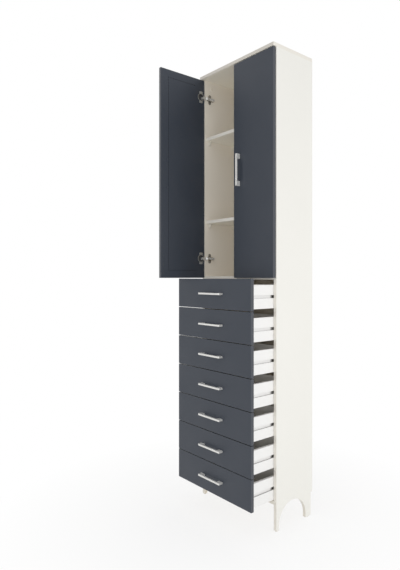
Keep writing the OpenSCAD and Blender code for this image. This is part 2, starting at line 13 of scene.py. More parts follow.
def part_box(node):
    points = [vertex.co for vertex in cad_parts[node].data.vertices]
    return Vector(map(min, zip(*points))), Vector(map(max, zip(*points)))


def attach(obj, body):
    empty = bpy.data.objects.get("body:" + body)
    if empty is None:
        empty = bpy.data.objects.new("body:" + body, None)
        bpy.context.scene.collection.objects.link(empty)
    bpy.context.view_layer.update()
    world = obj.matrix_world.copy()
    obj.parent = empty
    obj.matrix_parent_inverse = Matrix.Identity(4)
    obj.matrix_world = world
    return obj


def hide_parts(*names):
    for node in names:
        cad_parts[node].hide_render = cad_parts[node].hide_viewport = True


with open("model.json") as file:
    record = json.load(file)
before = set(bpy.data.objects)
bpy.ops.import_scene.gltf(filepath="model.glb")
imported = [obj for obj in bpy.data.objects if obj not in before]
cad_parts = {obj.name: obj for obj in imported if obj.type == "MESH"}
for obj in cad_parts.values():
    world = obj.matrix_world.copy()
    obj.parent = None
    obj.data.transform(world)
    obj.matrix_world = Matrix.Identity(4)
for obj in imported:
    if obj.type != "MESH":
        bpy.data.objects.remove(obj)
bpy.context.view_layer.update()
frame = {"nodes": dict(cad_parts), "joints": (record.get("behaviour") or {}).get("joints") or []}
nodes = frame["nodes"]
joints = {joint["name"]: joint for joint in frame["joints"]}

# Sizes of the cabinet, in millimetres from the lower left front corner of its carcass
MM = 0.001
CABINET_W = 500
BOARD_T = 15
STAND_OFF = 3
DOOR_Z = 1062
DOOR_H = 964
DOOR_W = 247.5
REVEAL = 1
DRAWERS = 7
FRONT_BASE = 124
LOW_HINGE_UP = 95
HIGH_HINGE_DOWN = 85
HINGE_HEIGHTS = (DOOR_Z + LOW_HINGE_UP, DOOR_Z + DOOR_H - HIGH_HINGE_DOWN)
LEFT_DOOR_OPEN = math.radians(91)

X, Y, Z = range(3)
corner_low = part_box("left_side_panel")[0]
CORNER = Vector((corner_low.x, corner_low.y, 0))
TO_FRAME = Matrix.Translation(CORNER) @ Matrix.Scale(MM, 4)
TO_CABINET = TO_FRAME.inverted()
MIRRORED = Matrix.Translation((CABINET_W, 0, 0)) @ Matrix.Diagonal((-1, 1, 1, 1))
PIN = TO_CABINET @ Vector(joints["left_door_hinge"]["pos_m"])
OPEN_SWING = (Matrix.Translation((PIN.x, PIN.y, 0)) @ Matrix.Rotation(-LEFT_DOOR_OPEN, 4, "Z")
              @ Matrix.Translation((-PIN.x, -PIN.y, 0)))
# From a piece drawn on the shut left door to where it is at rest, for each door
DOOR_PLACES = {"left": OPEN_SWING, "right": MIRRORED}


# Meshes

# Edges that turn by more than this stay sharp
SHARP_ANGLE = math.radians(35)


def finished(forms, name, body, material):
    """Joins forms, as pairs of a mesh in cabinet millimetres and its places, into a piece on a body."""
    whole = bmesh.new()
    for build, places in forms:
        for place in places:
            copy = build.copy()
            matrix = TO_FRAME @ place
            bmesh.ops.transform(copy, matrix=matrix, verts=copy.verts)
            if matrix.determinant() < 0:
                bmesh.ops.reverse_faces(copy, faces=copy.faces)
            part = bpy.data.meshes.new("part")
            copy.to_mesh(part)
            copy.free()
            whole.from_mesh(part)
            bpy.data.meshes.remove(part)
        build.free()
    mesh = bpy.data.meshes.new(name)
    whole.to_mesh(mesh)
    whole.free()
    mesh.shade_smooth()
    mesh.set_sharp_from_angle(angle=SHARP_ANGLE)
    mesh.materials.append(material)
    piece = bpy.data.objects.new(name, mesh)
    bpy.context.scene.collection.objects.link(piece)
    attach(piece, body)
    return piece


def ring_points(radius, height, sides):
    """Points round the Z axis."""
    turns = (2 * math.pi * side / sides for side in range(sides))
    return [(radius * math.cos(turn), radius * math.sin(turn), height) for turn in turns]


def lathe(profile, sides):
    """A closed turned form round Z from (radius, height) points that start and end on the axis."""
    build = bmesh.new()
    rings = []
    for radius, height in profile:
        points = ring_points(radius, height, sides) if radius else [(0, 0, height)]
        rings.append([build.verts.new(point) for point in points])
    for low, high in zip(rings, rings[1:]):
        for side in range(sides):
            following = (side + 1) % sides
            if len(low) == 1:
                build.faces.new((low[0], high[following], high[side]))
            elif len(high) == 1:
                build.faces.new((low[side], low[following], high[0]))
            else:
                build.faces.new((low[side], low[following], high[following], high[side]))
    bmesh.ops.recalc_face_normals(build, faces=build.faces)
    return build


# A screw head's flat crown and cross recess, as shares of the head's diameter
CROWN_SHARE = 0.8
RECESS_REACH_SHARE = 0.34
RECESS_HALF_W_SHARE = 0.085
RECESS_DEPTH_SHARE = 0.24
# How long the recess is at its floor, as a share of its length at the top
RECESS_FLOOR_SHARE = 0.45
SCREW_SIDES = 20


def cross_outline(head_dia, share, z):
    """The twelve corners of a cross recess in order round the axis, shrunk to a share of its top."""
    reach = head_dia * RECESS_REACH_SHARE * share
    half = head_dia * RECESS_HALF_W_SHARE * (0.5 + share / 2)
    points = []
    for quarter in range(4):
        turn = Matrix.Rotation(quarter * math.pi / 2, 3, "Z")
        for x, y in ((half, half), (reach, half), (reach, -half)):
            points.append(turn @ Vector((x, y, z)))
    return sorted(points, key=lambda point: math.atan2(point.y, point.x))


def cross_head_screw(head_dia, rim_z, crown_z, shank_dia, length):
    """A screw along -Z: a head from rim_z up to crown_z, with a cross recess, and a shank below z 0.
    A rim_z above 0 gives a head that stands on the surface, and one below 0 a countersunk head."""
    build = bmesh.new()

    def ring(dia, z):
        return [build.verts.new(point) for point in ring_points(dia / 2, z, SCREW_SIDES)]

    def skin(upper, lower):
        for side in range(SCREW_SIDES):
            following = (side + 1) % SCREW_SIDES
            build.faces.new((upper[side], lower[side], lower[following], upper[following]))

    crown = ring(head_dia * CROWN_SHARE, crown_z)
    cross = [build.verts.new(point) for point in cross_outline(head_dia, 1, crown_z)]
    flat = crown + cross
    outlines = [[vert.co.copy() for vert in crown], [vert.co.copy() for vert in cross]]
    for corners in tessellate_polygon(outlines):
        build.faces.new([flat[corner] for corner in corners])
    floor_z = crown_z - head_dia * RECESS_DEPTH_SHARE
    floor = [build.verts.new(point) for point in cross_outline(head_dia, RECESS_FLOOR_SHARE, floor_z)]
    for index in range(len(cross)):
        following = (index + 1) % len(cross)
        build.faces.new((cross[index], cross[following], floor[following], floor[index]))
    build.faces.new(floor)
    rim = ring(head_dia, rim_z)
    skin(crown, rim)
    if rim_z > 0:
        neck = ring(shank_dia, 0)
        seat = ring(head_dia, 0)
        skin(rim, seat)
        skin(seat, neck)
    else:
        neck = ring(shank_dia, rim_z - (head_dia - shank_dia) / 2)
        skin(rim, neck)
    tail = ring(shank_dia, -length)
    skin(neck, tail)
    build.faces.new(tail)
    bmesh.ops.recalc_face_normals(build, faces=build.faces)
    return build


# Node trees

def add_node(tree, kind, inputs=None, **settings):
    """Adds a node with its settings, and fills its inputs with values or with other nodes' outputs."""
    node = tree.nodes.new(kind)
    for name, value in settings.items():
        setattr(node, name, value)
    for name, value in (inputs or {}).items():
        if isinstance(value, bpy.types.NodeSocket):
            tree.links.new(value, node.inputs[name])
        else:
            node.inputs[name].default_value = value
    return node


def math_node(tree, operation, first, second=0.0):
    """The result of a sum on one or two values."""
    return add_node(tree, "ShaderNodeMath", {0: first, 1: second}, operation=operation).outputs[0]


def mixed(tree, factor, first, second):
    """Mix of two colours."""
    mix = add_node(tree, "ShaderNodeMix", {"Factor": factor}, data_type="RGBA")
    colours = [socket for socket in mix.inputs if socket.type == "RGBA"]
    for socket, value in zip(colours, (first, second)):
        if isinstance(value, bpy.types.NodeSocket):
            tree.links.new(value, socket)
        else:
            socket.default_value = value
    return [socket for socket in mix.outputs if socket.type == "RGBA"][0]


def ranged(tree, value, span, result):
    """A value moved from one range, span, to another, result, and clamped there."""
    return add_node(tree, "ShaderNodeMapRange", {
        "Value": value, "From Min": span[0], "From Max": span[1], "To Min": result[0], "To Max": result[1]
    }).outputs["Result"]


def noise(tree, place, scale, detail=2.0, roughness=0.5):
    """Clouds between 0 and 1, with scale features to the metre."""
    return add_node(tree, "ShaderNodeTexNoise", {
        "Vector": place, "Scale": scale, "Detail": detail, "Roughness": roughness
    }).outputs["Fac"]


def stretched(tree, place, shares):
    """Coordinates squeezed along some axes, so that what is drawn on them runs long there."""
    return add_node(tree, "ShaderNodeMapping", {"Vector": place, "Scale": shares}).outputs["Vector"]


def separated(tree, place):
    """The X, Y and Z of a place."""
    return add_node(tree, "ShaderNodeSeparateXYZ", {"Vector": place}).outputs


def new_group(name, inputs, outputs):
    """An empty effect with named inputs and outputs."""
    group = bpy.data.node_groups.new(name, "ShaderNodeTree")
    for socket, kind, value in inputs:
        made = group.interface.new_socket(socket, in_out="INPUT", socket_type="NodeSocket" + kind)
        if value is not None:
            made.default_value = value
    for socket, kind in outputs:
        group.interface.new_socket(socket, in_out="OUTPUT", socket_type="NodeSocket" + kind)
    given = group.nodes.new("NodeGroupInput")
    result = group.nodes.new("NodeGroupOutput")
    return group, given.outputs, result.inputs


def use_group(tree, group, **inputs):
    """Places an effect in a tree, with its inputs by name."""
    return add_node(tree, "ShaderNodeGroup", {
        name.replace("_", " "): value for name, value in inputs.items()
    }, node_tree=group).outputs


# The middle of a noise's values
NOISE_MIDDLE = 0.5


def foil_effect():
    """Embossed foil: a fine bead, and patches that are a little lighter and more rubbed."""
    group, given, result = new_group("foil", [
        ("Place", "Vector", None), ("Bead", "Float", 900.0), ("Colour", "Color", (0.5, 0.5, 0.5, 1)),
        ("Drift", "Float", 0.05), ("Gloss low", "Float", 0.4), ("Gloss high", "Float", 0.5)
    ], [("Colour", "Color"), ("Roughness", "Float"), ("Height", "Float")])
    patches = noise(group, given["Place"], scale=3.0, detail=3.0)
    specks = noise(group, given["Place"], given["Bead"], detail=1.0)
    patch_drift, speck_drift = (
        math_node(group, "MULTIPLY", math_node(group, "SUBTRACT", tone, NOISE_MIDDLE), given["Drift"])
        for tone in (patches, specks))
    level = math_node(group, "ADD", math_node(group, "ADD", patch_drift, speck_drift), 1.0)
    tone = add_node(group, "ShaderNodeVectorMath", {0: given["Colour"]}, operation="SCALE")
    group.links.new(level, tone.inputs["Scale"])
    group.links.new(tone.outputs["Vector"], result["Colour"])
    rubbed_and_groove_shade = noise(group, given["Place"], scale=7.0, detail=4.0, roughness=0.6)
    gloss = ranged(group, rubbed_and_groove_shade, span=(0.35, 0.65), result=(given["Gloss low"], given["Gloss high"]))
    group.links.new(gloss, result["Roughness"])
    group.links.new(specks, result["Height"])
    return group


# How much of the chips is dulled by dust
DUST_SHARE = 0.4


def chip_effect():
    """Cut chipboard: flat chips of several woods pressed together."""
    group, given, result = new_group("chips", [("Place", "Vector", None)],
                                     [("Colour", "Color"), ("Height", "Float")])
    chips = add_node(group, "ShaderNodeTexVoronoi", {
        "Vector": stretched(group, given["Place"], (1, 0.35, 0.5)), "Scale": 900.0, "Randomness": 1.0
    })
    tone = add_node(group, "ShaderNodeSeparateColor", {"Color": chips.outputs["Color"]}).outputs[0]
    wood = mixed(group, tone, CHIP_DARK, CHIP_PALE)
    dust = noise(group, given["Place"], scale=2500.0, detail=3.0)
    dusty = mixed(group, math_node(group, "MULTIPLY", dust, DUST_SHARE), wood, CHIP_DARK)
    group.links.new(dusty, result["Colour"])
    group.links.new(math_node(group, "ADD", chips.outputs["Distance"], dust), result["Height"])
    return group


def brushing_effect():
    """Fine brushed lines on metal, along one axis of the place that is given."""
    group, given, result = new_group("brushing", [
        ("Place", "Vector", None), ("Lines", "Float", 1200.0),
        ("Gloss low", "Float", 0.22), ("Gloss high", "Float", 0.4)
    ], [("Roughness", "Float"), ("Height", "Float")])
    lines = noise(group, given["Place"], given["Lines"], detail=4.0, roughness=0.7)
    gloss = ranged(group, lines, span=(0.3, 0.7), result=(given["Gloss low"], given["Gloss high"]))
    group.links.new(gloss, result["Roughness"])
    group.links.new(lines, result["Height"])
    return group


def grain_effect():
    """Straight wood grain along Y, with short dark flecks."""
    group, given, result = new_group("grain", [
        ("Place", "Vector", None), ("Pale", "Color", (0.6, 0.45, 0.28, 1)),
        ("Dark", "Color", (0.4, 0.27, 0.15, 1))
    ], [("Colour", "Color"), ("Height", "Float")])
    bands = noise(group, stretched(group, given["Place"], (1, 0.06, 1)), scale=260.0, detail=4.0,
                  roughness=0.6)
    flecks = noise(group, stretched(group, given["Place"], (1, 0.12, 1)), scale=1800.0, detail=1.0)
    fleck_mask = ranged(group, flecks, span=(0.62, 0.7), result=(0.0, 0.6))
    paleness = ranged(group, bands, span=(0.3, 0.7), result=(0.0, 1.0))
    wood = mixed(group, paleness, given["Dark"], given["Pale"])
    group.links.new(mixed(group, fleck_mask, wood, given["Dark"]), result["Colour"])
    group.links.new(math_node(group, "SUBTRACT", bands, fleck_mask), result["Height"])
    return group


def screen_effect():
    """The woven print on the rough side of hardboard, with its threads counted to the metre."""
    group, given, result = new_group("screen", [("Place", "Vector", None), ("Threads", "Float", 520.0)],
                                     [("Height", "Float"), ("Fibre", "Float")])
    place = separated(group, given["Place"])
    turns = math_node(group, "MULTIPLY", given["Threads"], 2 * math.pi)
    across = math_node(group, "SINE", math_node(group, "MULTIPLY", place["X"], turns))
    level = math_node(group, "ADD", place["Y"], place["Z"])
    along = math_node(group, "SINE", math_node(group, "MULTIPLY", level, turns))
    fibre = noise(group, given["Place"], scale=160.0, detail=6.0, roughness=0.7)
    weave = math_node(group, "MULTIPLY", across, along)
    group.links.new(math_node(group, "ADD", weave, fibre), result["Height"])
    group.links.new(fibre, result["Fibre"])
    return group


# Metres behind the carcass's front edge between which the painted shade in the grooves comes and goes
GROOVE_SHADE_COMES = (-0.018, -0.004)
GROOVE_SHADE_GOES = (0.010, 0.030)


def groove_shade_effect():
    """Painted shade inside the grooves where they meet the carcass: 1 at the front edge of the carcass, 0
    far from it.
    """
    group, given, result = new_group("groove_shade_painted", [("Place", "Vector", None), ("Front", "Float", 0.0)],
                                     [("Mask", "Float")])
    behind = math_node(group, "SUBTRACT", separated(group, given["Place"])["Y"], given["Front"])
    rise = ranged(group, behind, GROOVE_SHADE_COMES, result=(0.0, 1.0))
    fall = ranged(group, behind, GROOVE_SHADE_GOES, result=(1.0, 0.0))
    clouds = noise(group, given["Place"], scale=90.0, detail=3.0)
    shade_patches = ranged(group, clouds, span=(0.2, 0.5), result=(0.75, 1.0))
    painted_shade = math_node(group, "MULTIPLY", math_node(group, "MULTIPLY", rise, fall), shade_patches)
    group.links.new(painted_shade, result["Mask"])
    return group


# Colours, as linear shares of red, green and blue
SLATE = (0.028, 0.036, 0.052, 1)
SLATE_BAND = (0.054, 0.060, 0.074, 1)
WARM_WHITE = (0.855, 0.845, 0.80, 1)
WARM_WHITE_BAND = (0.83, 0.80, 0.735, 1)
# A warmer copy of the carcass white on faces that look into the cabinet: painted warm shade of the
# interior, also taken by the cover caps
INSIDE_WHITE_WARM_SHADE = (0.87, 0.82, 0.735, 1)
# A lighter copy of the inside white: painted light on the undersides of the top panel and the shelves
UNDER_WHITE_PAINTED_LIGHT = (0.92, 0.885, 0.795, 1)
# A darker copy of the band: painted shade on the top panel's front edge
TOP_EDGE_PAINTED_SHADE = (0.66, 0.625, 0.565, 1)
DRAWER_WHITE = (0.87, 0.865, 0.855, 1)
# Grey on the groove's upper and lower faces: painted shade along the groove
GROOVE_LIP_PAINTED_SHADE = (0.42, 0.41, 0.40, 1)
BACK_WHITE = (0.83, 0.775, 0.68, 1)
CHIP_PALE = (0.62, 0.47, 0.30, 1)
CHIP_DARK = (0.30, 0.19, 0.10, 1)
HARDBOARD_BROWN = (0.34, 0.23, 0.135, 1)
HARDBOARD_FIBRE = (0.47, 0.34, 0.22, 1)
NICKEL = (0.86, 0.85, 0.825, 1)
ZINC = (0.66, 0.67, 0.69, 1)
CUP_NICKEL = (0.50, 0.51, 0.50, 1)
# Near black in the cups' hollows: painted shade
CUP_PAINTED_SHADE = (0.10, 0.10, 0.10, 1)
ARM_NICKEL = (0.82, 0.815, 0.80, 1)
PLATE_BRONZE = (0.34, 0.325, 0.285, 1)
BEECH_PALE = (0.66, 0.50, 0.32, 1)
BEECH_DARK = (0.50, 0.35, 0.20, 1)
MILKY = (0.78, 0.75, 0.68, 1)
INK = (0.002, 0.0025, 0.004, 1)
# Painted shade in the drawer grooves just in front of the carcass's front edge
PAINTED_GROOVE_SHADE = (0.035, 0.032, 0.028, 1)
FLOOR_LOW = (0.88, 0.88, 0.87, 1)
FLOOR_HIGH = (0.92, 0.92, 0.91, 1)
WHITE = (1, 1, 1, 1)

FOIL = foil_effect()
CHIPS = chip_effect()
BRUSHING = brushing_effect()
GRAIN = grain_effect()
SCREEN = screen_effect()
GROOVE_SHADE = groove_shade_effect()


def shaded(colour, factor):
    """A colour made lighter or darker."""
    return tuple(min(1, factor * share) for share in colour[:3]) + (1,)


def new_material(name, **constants):
    """A material with one Principled shader, whose constants are set by input name."""
    material = bpy.data.materials.new(name)
    material.use_nodes = True
    tree = material.node_tree
    tree.nodes.clear()
    shader = add_node(tree, "ShaderNodeBsdfPrincipled", {
        name.replace("_", " "): value for name, value in constants.items()
    })
    add_node(tree, "ShaderNodeOutputMaterial", {"Surface": shader.outputs["BSDF"]})
    place = add_node(tree, "ShaderNodeTexCoord").outputs["Object"]
    return material, tree, shader.inputs, place


def add_bump(tree, shader, height, depth):
    """Relief from a height between 0 and 1, as deep as depth in metres."""
    bump = add_node(tree, "ShaderNodeBump", {"Height": height, "Distance": depth, "Strength": 1.0})
    tree.links.new(bump.outputs["Normal"], shader["Normal"])


def foil_material(name, colour, bead, drift, gloss, depth, rubbed_and_groove_shade=False):
    """Foil with beads to the metre, a drift of its tone, a range of roughness, and painted shade in a
    groove if wanted.
    """
    material, tree, shader, place = new_material(name)
    foil = use_group(tree, FOIL, Place=place, Bead=bead, Colour=colour, Drift=drift,
                     Gloss_low=gloss[0], Gloss_high=gloss[1])
    tone = foil["Colour"]
    # Painted shade: darkens the groove floor towards the carcass's front edge
    if rubbed_and_groove_shade:
        groove_shade_mask = use_group(tree, GROOVE_SHADE, Place=place, Front=CORNER.y)["Mask"]
        tone = mixed(tree, groove_shade_mask, tone, PAINTED_GROOVE_SHADE)
    tree.links.new(tone, shader["Base Color"])
    tree.links.new(foil["Roughness"], shader["Roughness"])
    add_bump(tree, shader, foil["Height"], depth)
    return material


def chipboard_material():
    """The bare core of the boards."""
    material, tree, shader, place = new_material("chipboard", Roughness=0.85)
    chips = use_group(tree, CHIPS, Place=place)
    tree.links.new(chips["Colour"], shader["Base Color"])
    add_bump(tree, shader, chips["Height"], depth=0.0004)
    return material


def hardboard_material():
    """The rough side of the backs."""
    material, tree, shader, place = new_material("hardboard_rough_side", Roughness=0.8)
    screen = use_group(tree, SCREEN, Place=place)
    tree.links.new(mixed(tree, screen["Fibre"], HARDBOARD_BROWN, HARDBOARD_FIBRE), shader["Base Color"])
    add_bump(tree, shader, screen["Height"], depth=0.0002)
    return material


def beech_material():
    """Battens and dowels."""
    material, tree, shader, place = new_material("beech", Roughness=0.55)
    grain = use_group(tree, GRAIN, Place=place, Pale=BEECH_PALE, Dark=BEECH_DARK)
    tree.links.new(grain["Colour"], shader["Base Color"])
    add_bump(tree, shader, grain["Height"], depth=0.0002)
    return material


# Painted shade in the bottoms of the brushed lines: how dark they are against the metal between them
LINE_SHADE = 0.78


def metal_material(name, colour, run, gloss, depth, metallic=1.0):
    """Metal with fine lines; run is how much the place is squeezed along each axis."""
    material, tree, shader, place = new_material(name, Metallic=metallic)
    lines = use_group(tree, BRUSHING, Place=stretched(tree, place, run),
                      Gloss_low=gloss[0], Gloss_high=gloss[1])
    # Painted shade: the brushed lines' bottoms darker than the metal between them
    between = ranged(tree, lines["Height"], span=(0.3, 0.6), result=(0.0, 1.0))
    tree.links.new(mixed(tree, between, shaded(colour, LINE_SHADE), colour), shader["Base Color"])
    tree.links.new(lines["Roughness"], shader["Roughness"])
    add_bump(tree, shader, lines["Height"], depth)
    return material


def ink_material():
    """Matt ink of the dotted border, with a fine speckle."""
    material, tree, shader, place = new_material("border_ink", Roughness=0.9, Specular_IOR_Level=0.1)
    speckle = noise(tree, place, scale=3000.0)
    tree.links.new(mixed(tree, speckle, INK, shaded(INK, 2)), shader["Base Color"])
    add_bump(tree, shader, speckle, depth=0.00002)
    return material


def moulded_material():
    """Milky plastic with faint clouds, for the shelf supports and glides."""
    material, tree, shader, place = new_material("milky_plastic", Roughness=0.38)
    clouds = noise(tree, place, scale=120.0, detail=3.0)
    tree.links.new(mixed(tree, clouds, MILKY, shaded(MILKY, 1.06)), shader["Base Color"])
    add_bump(tree, shader, noise(tree, place, scale=1500.0), depth=0.00005)
    return material


slate_face = foil_material("slate_foil", SLATE, bead=1100.0, drift=0.10, gloss=(0.42, 0.50), depth=0.00006)
slate_band = foil_material("slate_band", SLATE_BAND, bead=1600.0, drift=0.06, gloss=(0.34, 0.42),
                           depth=0.00003)
white_face = foil_material("white_foil", WARM_WHITE, bead=1000.0, drift=0.03, gloss=(0.42, 0.52),
                           depth=0.00006)
white_band = foil_material("white_band", WARM_WHITE_BAND, bead=1600.0, drift=0.03, gloss=(0.34, 0.42),
                           depth=0.00003)
# Painted warm shade on the carcass faces that look into the cabinet
inside_face_warm_shade = foil_material("inside_foil_warm_shade", INSIDE_WHITE_WARM_SHADE, bead=1000.0, drift=0.03, gloss=(0.42, 0.52),
                            depth=0.00006)
# Painted light on the undersides of the top panel and the shelves
under_face_painted_light = foil_material("underside_foil_painted_light", UNDER_WHITE_PAINTED_LIGHT, bead=1000.0, drift=0.03, gloss=(0.42, 0.52),
                           depth=0.00006)
# Painted shade on the top panel's front edge
top_edge_shaded = foil_material("top_front_band_painted_shade", TOP_EDGE_PAINTED_SHADE, bead=1600.0, drift=0.03, gloss=(0.42, 0.50),
                         depth=0.00003)
back_face = foil_material("painted_hardboard", BACK_WHITE, bead=700.0, drift=0.05, gloss=(0.50, 0.62),
                          depth=0.00008)
drawer_face = foil_material("drawer_foil", DRAWER_WHITE, bead=1300.0, drift=0.03, gloss=(0.40, 0.50),
                            depth=0.00004)
# Groove floor of the drawer sides, with painted shade near the carcass's front edge
groove_face = foil_material("groove_floor_painted_shade", DRAWER_WHITE, bead=1300.0, drift=0.03, gloss=(0.4, 0.5),
                            depth=0.00004, rubbed_and_groove_shade=True)
# The groove's upper and lower faces, grey as painted shade
groove_lip_shade = foil_material("groove_edge_painted_shade", GROOVE_LIP_PAINTED_SHADE, bead=2200.0, drift=0.12, gloss=(0.60, 0.72),
                           depth=0.00006)
# The caps take the interior's warm tint of painted shade
cap_plastic = foil_material("cover_cap_plastic", INSIDE_WHITE_WARM_SHADE, bead=2000.0, drift=0.03, gloss=(0.34, 0.42),
                            depth=0.00002)
chipboard = chipboard_material()
hardboard_rough = hardboard_material()
beech = beech_material()
milky_plastic = moulded_material()
dot_ink = ink_material()
level_nickel = metal_material("satin_nickel_level", NICKEL, run=(0.04, 1, 1), gloss=(0.34, 0.46),
                              depth=0.00002, metallic=0.4)
upright_nickel = metal_material("satin_nickel_upright", NICKEL, run=(1, 1, 0.04), gloss=(0.34, 0.46),
                                depth=0.00002, metallic=0.4)
zinc = metal_material("zinc_plate", ZINC, run=(1, 1, 1), gloss=(0.26, 0.46), depth=0.00002)
arm_nickel = metal_material("hinge_arm_nickel", ARM_NICKEL, run=(1, 0.1, 1), gloss=(0.26, 0.40),
                            depth=0.00002, metallic=0.6)
cup_nickel = metal_material("hinge_cup_nickel", CUP_NICKEL, run=(1, 1, 0.1), gloss=(0.30, 0.44),
                            depth=0.00002, metallic=0.7)
# Painted shade in the hollows of the hinge cups
cup_hollow_painted_shade = metal_material("hinge_cup_hollow_painted_shade", CUP_PAINTED_SHADE, run=(1, 1, 0.1), gloss=(0.50, 0.65),
                            depth=0.00002, metallic=0.3)
plate_metal = metal_material("hinge_plate_finish", PLATE_BRONZE, run=(1, 0.1, 1), gloss=(0.26, 0.40),
                             depth=0.00003)


# Finishes of the boards, face by face

# Millimetres from a board's end within which a face belongs to its rim or that rim's rounding
RIM = 1.2
# Millimetres within which a face lies in a board's outer plane, and within which two heights agree
IN_PLANE = 0.01
NEAR = 0.1
# The share of a normal along an axis from which a face looks along it
SQUARE = 0.9


def dress(name, pick, materials, place=Matrix()):
    """Gives each face of a CAD node the material that pick names for its middle and normal, both in
    cabinet millimetres after place is undone."""
    mesh = nodes[name].data
    mesh.materials.clear()
    for material in materials:
        mesh.materials.append(material)
    to_drawn = (TO_FRAME @ place).inverted()
    turn = place.to_3x3().inverted()
    for face in mesh.polygons:
        face.material_index = pick(to_drawn @ face.center, turn @ face.normal)


def box_round(points):
    """The low and the high corner of the box round some points."""
    low = Vector(min(point[axis] for point in points) for axis in range(3))
    high = Vector(max(point[axis] for point in points) for axis in range(3))
    return low, high


def box_mm(name, place=Matrix()):
    """Corners of a node in cabinet millimetres after place is undone."""
    to_drawn = (TO_FRAME @ place).inverted()
    return box_round([to_drawn @ vert.co for vert in nodes[name].data.vertices])


def board_pick(name, thick, raw_rims=(), place=Matrix(), inner=()):
    """Faces: 0 broad face, 1 banded rim, 2 bare core, 3 broad face that looks inward. thick is the axis of
    the board's thickness, raw_rims are rims without banding, as (axis, -1 or 1), and inner the sides of
    the thickness that look inward."""
    low, high = box_mm(name, place)

    def pick(middle, normal):
        for axis in range(3):
            if axis == thick:
                continue
            for side, end in ((-1, low[axis]), (1, high[axis])):
                if abs(middle[axis] - end) < RIM:
                    if (axis, side) in raw_rims and normal[axis] * side > SQUARE:
                        return 2
                    return 1
        for side, end in ((-1, low[thick]), (1, high[thick])):
            if abs(middle[thick] - end) < IN_PLANE:
                return 3 if side in inner else 0
        return 2
    return pick


# The arch between the feet lies in front of this depth, and the skirting notch behind it
BEHIND_ARCH = 213
# The share of a normal along X up to which a face belongs to the arch and not to its rounding
HALF_TURNED = 0.5


def dress_side(name, inner):
    """A side panel, banded in front and in its arch; inner is the side of X that looks into the cabinet."""
    usual = board_pick(name, X, raw_rims=((Y, 1), (Z, 1)), inner=(inner,))
    low, high = box_mm(name)

    def pick(middle, normal):
        on_face = min(abs(middle.x - low.x), abs(middle.x - high.x)) < IN_PLANE
        in_arch = middle.z < FRONT_BASE and middle.y < BEHIND_ARCH
        if in_arch and not on_face and abs(normal.x) < HALF_TURNED:
            return 1
        return usual(middle, normal)
    dress(name, pick, (white_face, white_band, chipboard, inside_face_warm_shade))


def dress_top(name):
    """The top panel: as the other boards, with a lighter face of its own below as painted light, and a
    front edge darkened as painted shade.
    """
    usual = board_pick(name, Z, raw_rims=((Y, 1),), inner=(-1,))
    low, high = box_mm(name)

    def pick(middle, normal):
        kind = usual(middle, normal)
        return 4 if kind == 1 and abs(middle.y - low.y) < RIM else kind
    dress(name, pick, (white_face, white_band, chipboard, under_face_painted_light, top_edge_shaded))


def dress_sheet(name):
    """A hardboard back: painted in front, rough behind."""
    dress(name, lambda middle, normal: 0 if normal.y < -SQUARE else 1, (back_face, hardboard_rough))


def dress_plain(material, *names):
    """One material all over each of some nodes."""
    for name in names:
        dress(name, lambda middle, normal: 0, (material,))


# The groove along a drawer side: its heights above the side's lower edge, and its depth
GROOVE_LOW = 42.5
GROOVE_HIGH = 55.5
GROOVE_DEPTH = 6


def side_pick(name):
    """Faces of drawer sides: 0 foil, 1 bare ends, 2 the groove's floor, 3 its upper and lower faces, grey
    as painted shade.
    """
    low, high = box_mm(name)

    def pick(middle, normal):
        if abs(normal.y) > SQUARE:
            return 1
        level = middle.z - low.z
        depth = min(middle.x - low.x, high.x - middle.x)
        at_groove = GROOVE_LOW - NEAR < level < GROOVE_HIGH + NEAR
        if at_groove and NEAR < depth < GROOVE_DEPTH + NEAR:
            return 3 if abs(normal.z) > SQUARE else 2
        return 0
    return pick


# Hinge cups of a shut door: their size and middle, and the Y that the faces of their hollow lie in front of
CUP_DIA = 35
CUP_FROM_EDGE = 3
CUP_X = REVEAL + CUP_FROM_EDGE + CUP_DIA / 2
CUP_INNER_R = 16
CUP_HOLLOW_Y = -STAND_OFF + 0.5


def cup_pick(middle, normal):
    """Faces of hinge cups: 0 outside and flange, 1 the hollow, which is painted dark as shade."""
    rise = min((middle.z - height for height in HINGE_HEIGHTS), key=abs)
    from_axis = math.hypot(middle.x - CUP_X, rise)
    inward = normal.x * (CUP_X - middle.x) - normal.z * rise > 0
    in_hollow = from_axis < CUP_INNER_R + NEAR and middle.y < CUP_HOLLOW_Y
    return 1 if in_hollow and (inward or normal.y > SQUARE) else 0


dress_side("left_side_panel", 1)
dress_side("right_side_panel", -1)
dress_top("top_panel")
for panel in ("middle_panel", "bottom_panel"):
    dress(panel, board_pick(panel, Z, raw_rims=((Y, 1), (X, 1), (X, -1)), inner=(-1, 1)),
          (white_face, white_band, chipboard, inside_face_warm_shade))
